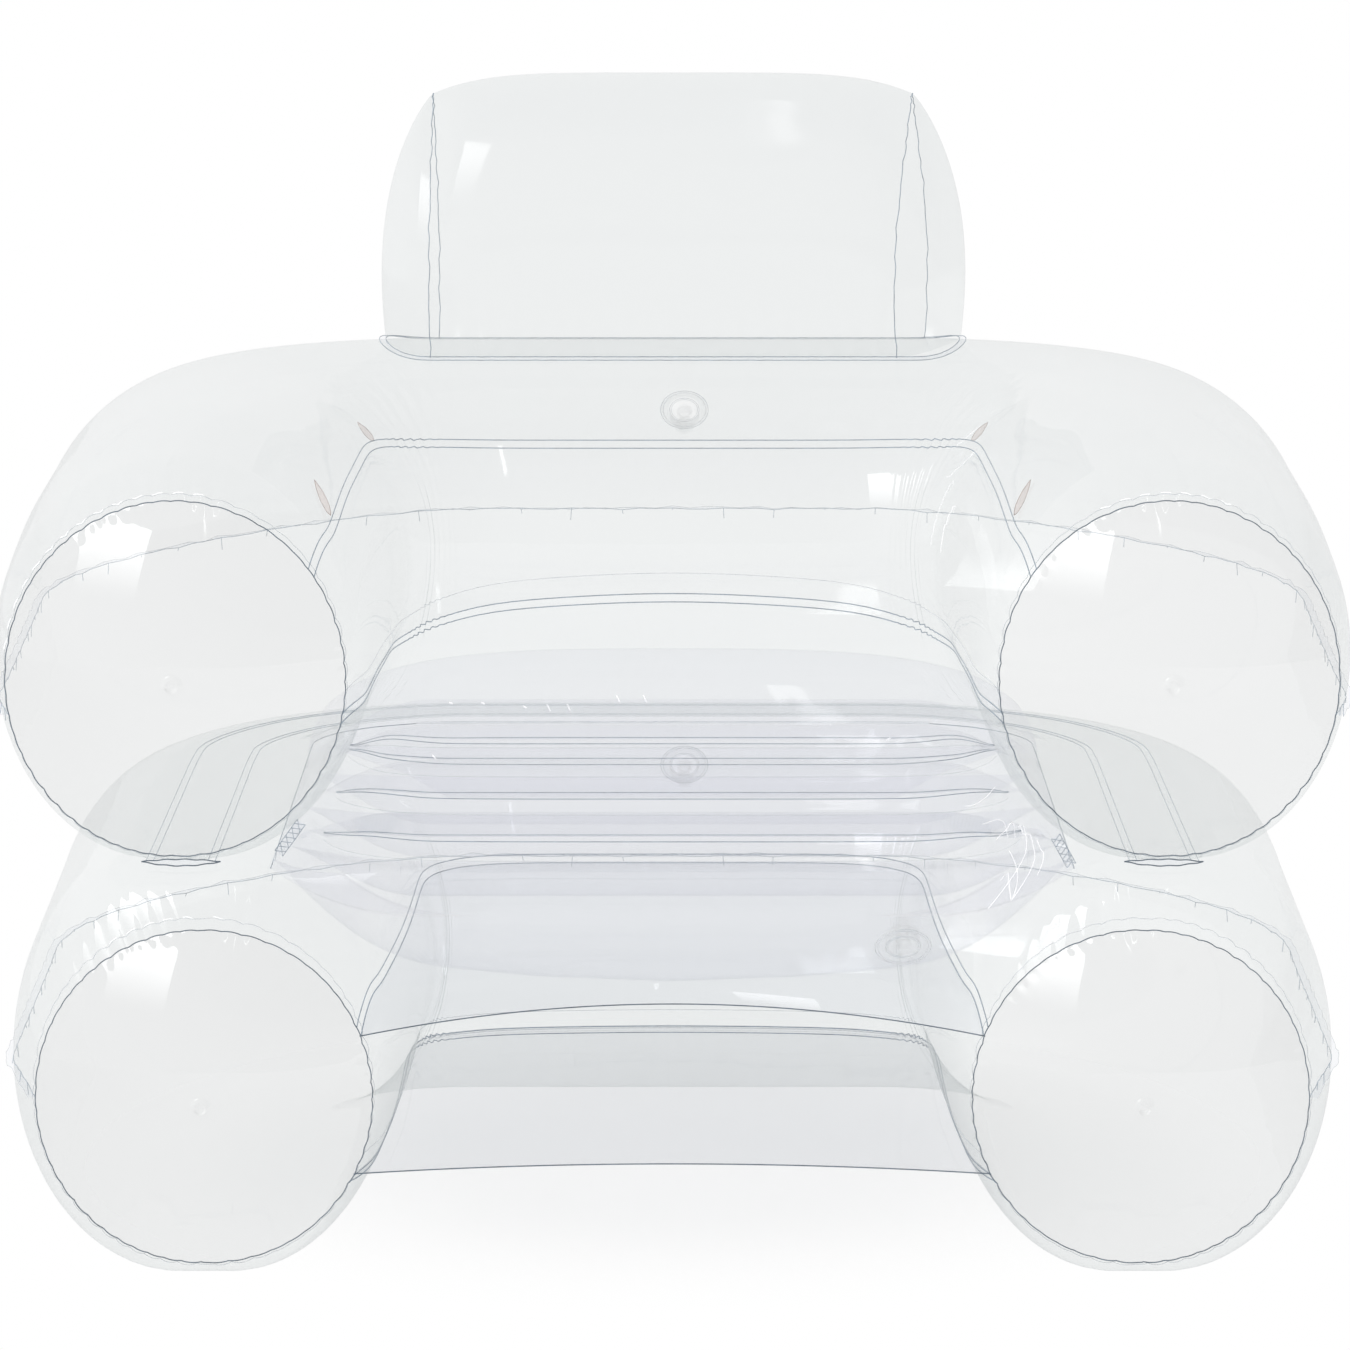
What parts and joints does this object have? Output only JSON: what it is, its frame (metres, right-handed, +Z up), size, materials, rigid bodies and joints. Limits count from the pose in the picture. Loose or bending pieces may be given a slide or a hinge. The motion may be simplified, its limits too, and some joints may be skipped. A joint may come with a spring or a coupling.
{
  "type": "inflatable armchair",
  "caption": "Clear inflatable armchair with stacked U-shaped air tubes, a ribbed seat cushion, a headrest pillow and pop-out valves.",
  "frame": {"origin": "middle of the chair's box, at floor height", "axes": "+Z up, -Y to the front where the sitter's legs go, +X to the right as seen from the front"},
  "size_m": [1.1368, 0.9444, 0.9359],
  "materials": {
    "clear_film": "gloss",
    "valve_vinyl": "satin"
  },
  "bodies": {
    "chair": {"arm_bottom_panel": "clear_film", "arm_end_disc_left": "clear_film", "arm_end_disc_right": "clear_film", "arm_inner_wall": "clear_film", "arm_top_panel": "clear_film", "back_valve_flange": "valve_vinyl", "base_bottom_panel": "clear_film", "base_end_disc_left": "clear_film", "base_end_disc_right": "clear_film", "base_inner_wall": "clear_film", "base_top_panel": "clear_film", "base_valve_flange": "valve_vinyl", "floor_sheet": "clear_film", "headrest_side_panel_left": "clear_film", "headrest_side_panel_right": "clear_film", "headrest_wrap_panel": "clear_film", "seat_cushion_panel": "clear_film", "seat_rib_1": "clear_film", "seat_rib_2": "clear_film", "seat_rib_3": "clear_film", "seat_rib_4": "clear_film", "seat_support_sheet": "clear_film", "seat_valve_flange": "valve_vinyl"},
    "base_valve_stem": {"base_valve_stem": "valve_vinyl"},
    "base_valve_plug": {"base_valve_plug": "valve_vinyl"},
    "base_valve_flap": {"base_valve_flap": "valve_vinyl"},
    "back_valve_stem": {"back_valve_stem": "valve_vinyl"},
    "back_valve_plug": {"back_valve_plug": "valve_vinyl"},
    "back_valve_flap": {"back_valve_flap": "valve_vinyl"},
    "seat_valve_stem": {"seat_valve_stem": "valve_vinyl"},
    "seat_valve_plug": {"seat_valve_plug": "valve_vinyl"},
    "seat_valve_flap": {"seat_valve_flap": "valve_vinyl"}
  },
  "joints": [
    {"name": "base_valve_stem_slide", "type": "slide", "parent": "chair", "child": "base_valve_stem", "axis": [0, 0.8842, 0.4672], "range_m": [0, 0.01]},
    {"name": "base_valve_plug_pull", "type": "slide", "parent": "base_valve_stem", "child": "base_valve_plug", "axis": [0, 0.8842, 0.4672], "range_m": [0, 0.014]},
    {"name": "base_valve_flap_hinge", "type": "hinge", "parent": "base_valve_stem", "child": "base_valve_flap", "pos_m": [0.011, 0.41875, 0.25859], "axis": [-1, 0, 0], "range_deg": [0, 50], "stiffness_Nm_per_rad": 0.0001, "springref_deg": -5.73},
    {"name": "back_valve_stem_slide", "type": "slide", "parent": "chair", "child": "back_valve_stem", "axis": [0, 0.8606, 0.5094], "range_m": [0, 0.01]},
    {"name": "back_valve_plug_pull", "type": "slide", "parent": "back_valve_stem", "child": "back_valve_plug", "axis": [0, 0.8606, 0.5094], "range_m": [0, 0.014]},
    {"name": "back_valve_flap_hinge", "type": "hinge", "parent": "back_valve_stem", "child": "back_valve_flap", "pos_m": [0.011, 0.41678, 0.59924], "axis": [-1, 0, 0], "range_deg": [0, 50], "stiffness_Nm_per_rad": 0.0001, "springref_deg": -5.73},
    {"name": "seat_valve_stem_slide", "type": "slide", "parent": "chair", "child": "seat_valve_stem", "axis": [0.0234, -0.7658, -0.6426], "range_m": [0, 0.01]},
    {"name": "seat_valve_plug_pull", "type": "slide", "parent": "seat_valve_stem", "child": "seat_valve_plug", "axis": [0.0234, -0.7658, -0.6426], "range_m": [0, 0.014]},
    {"name": "seat_valve_flap_hinge", "type": "hinge", "parent": "seat_valve_stem", "child": "seat_valve_flap", "pos_m": [0.18427, -0.43997, 0.30659], "axis": [0.9993, 0.0001, 0.0363], "range_deg": [0, 50], "stiffness_Nm_per_rad": 0.0001, "springref_deg": -5.73}
  ]
}
